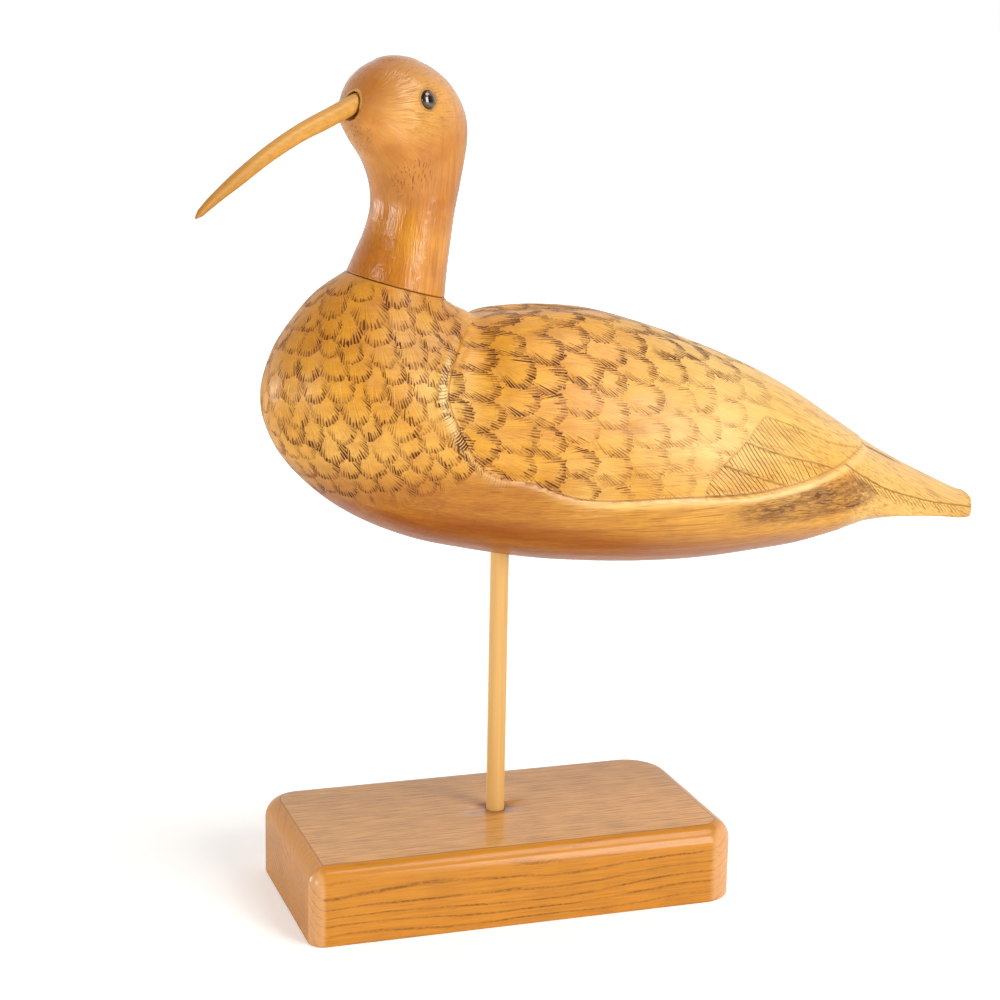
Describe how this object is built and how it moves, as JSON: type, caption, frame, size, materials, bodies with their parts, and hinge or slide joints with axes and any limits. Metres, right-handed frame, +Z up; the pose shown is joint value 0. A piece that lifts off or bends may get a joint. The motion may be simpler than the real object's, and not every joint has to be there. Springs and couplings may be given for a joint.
{
  "type": "shorebird decoy",
  "caption": "Carved wooden curlew decoy with a long down-curved bill and feather carving, on a dowel post in a rounded oak base block.",
  "frame": {"origin": "centre of the base's underside, on the post's axis", "axes": "+Z up along the post, bill towards -X and tail towards +X, +Y to the bird's right; the head is turned towards -Y"},
  "size_m": [0.2894, 0.0839, 0.2868],
  "materials": {
    "figure_wood": "honey stain under satin varnish, feather marks burnt in",
    "bill_wood": "satin varnish",
    "post_birch": "bare, sanded",
    "base_oak": "stained oak under semi-gloss varnish",
    "eye_glass": "polished dark glass"
  },
  "bodies": {
    "root": {"base": "base_oak", "post": "post_birch", "body": "figure_wood", "head": "figure_wood", "bill": "bill_wood", "eye_left": "eye_glass", "eye_right": "eye_glass"}
  },
  "joints": []
}
